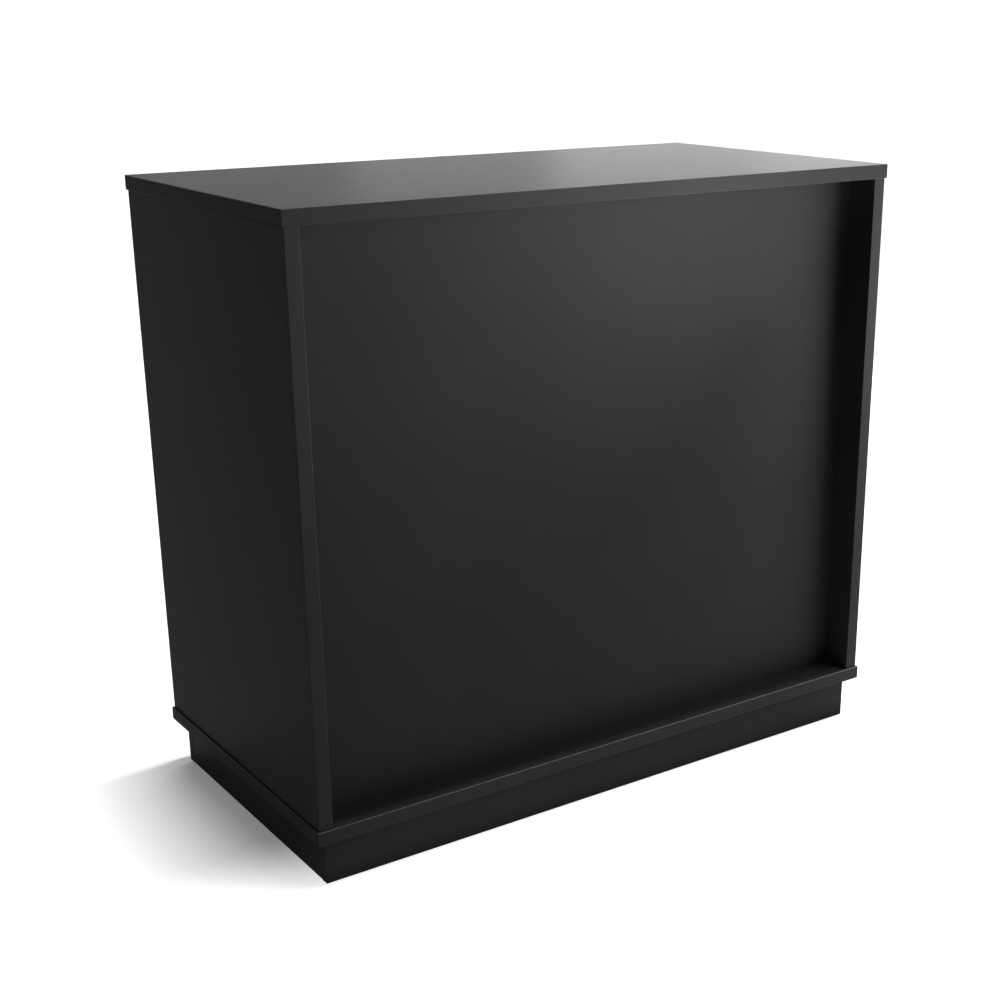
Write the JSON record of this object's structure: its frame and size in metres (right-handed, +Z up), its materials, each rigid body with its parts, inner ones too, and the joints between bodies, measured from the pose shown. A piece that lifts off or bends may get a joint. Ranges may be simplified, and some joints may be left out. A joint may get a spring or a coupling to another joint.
{
  "type": "folding portable bar",
  "caption": "Free-standing black bar counter whose sides fold flat behind a recessed front panel, with a lift-off top and a deck on a recessed plinth.",
  "frame": {"origin": "on the floor under the middle of the bar's box", "axes": "+X to the right seen from the front, +Y from the front to the rear, +Z up"},
  "size_m": [1.202, 0.612, 1.0962],
  "materials": {
    "black_board": "matt black faced board with black edging",
    "raw_board": "bare fibreboard",
    "hinge_steel": "satin zinc-plated steel",
    "pin_steel": "bright steel",
    "magnet_nickel": "nickel-plated",
    "strike_steel": "zinc-plated steel",
    "dowel_beech": "bare beech",
    "glide_nylon": "moulded black nylon"
  },
  "bodies": {
    "base": {"deck_panel": "black_board", "plinth_front_board": "black_board", "plinth_rear_board": "black_board", "plinth_left_board": "black_board", "plinth_right_board": "black_board", "plinth_mid_rail": "raw_board", "corner_block_front_left": "raw_board", "corner_block_front_right": "raw_board", "corner_block_rear_left": "raw_board", "corner_block_rear_right": "raw_board", "glide_front_left": "glide_nylon", "glide_front_right": "glide_nylon", "glide_rear_left": "glide_nylon", "glide_rear_right": "glide_nylon", "deck_magnet_left": "magnet_nickel", "deck_magnet_right": "magnet_nickel"},
    "front": {"front_panel": "black_board", "base_dowel_left": "dowel_beech", "base_dowel_middle": "dowel_beech", "base_dowel_right": "dowel_beech", "top_dowel_left": "dowel_beech", "top_dowel_middle": "dowel_beech", "top_dowel_right": "dowel_beech", "left_hinge_lower_fixed_leaf": "hinge_steel", "left_hinge_middle_fixed_leaf": "hinge_steel", "left_hinge_upper_fixed_leaf": "hinge_steel", "right_hinge_lower_fixed_leaf": "hinge_steel", "right_hinge_middle_fixed_leaf": "hinge_steel", "right_hinge_upper_fixed_leaf": "hinge_steel", "left_hinge_lower_pin": "pin_steel", "left_hinge_middle_pin": "pin_steel", "left_hinge_upper_pin": "pin_steel", "right_hinge_lower_pin": "pin_steel", "right_hinge_middle_pin": "pin_steel", "right_hinge_upper_pin": "pin_steel"},
    "left_side": {"left_side_panel": "black_board", "left_side_strike_plate": "strike_steel", "left_side_magnet": "magnet_nickel", "left_hinge_lower_moving_leaf": "hinge_steel", "left_hinge_middle_moving_leaf": "hinge_steel", "left_hinge_upper_moving_leaf": "hinge_steel"},
    "right_side": {"right_side_panel": "black_board", "right_side_strike_plate": "strike_steel", "right_side_magnet": "magnet_nickel", "right_hinge_lower_moving_leaf": "hinge_steel", "right_hinge_middle_moving_leaf": "hinge_steel", "right_hinge_upper_moving_leaf": "hinge_steel"},
    "counter": {"counter_top": "black_board", "top_strike_plate_left": "strike_steel", "top_strike_plate_right": "strike_steel"}
  },
  "joints": [
    {"name": "body_lift_off", "type": "slide", "parent": "base", "child": "front", "axis": [0, 0, 1], "range_m": [0, 0.12]},
    {"name": "left_side_fold", "type": "hinge", "parent": "front", "child": "left_side", "pos_m": [-0.5677, -0.2177, 0.5909], "axis": [0, 0, -1], "range_deg": [0, 90]},
    {"name": "right_side_fold", "type": "hinge", "parent": "front", "child": "right_side", "pos_m": [0.5677, -0.2177, 0.5909], "axis": [0, 0, 1], "range_deg": [0, 90]},
    {"name": "top_lift_off", "type": "slide", "parent": "front", "child": "counter", "axis": [0, 0, 1], "range_m": [0, 0.12]}
  ]
}
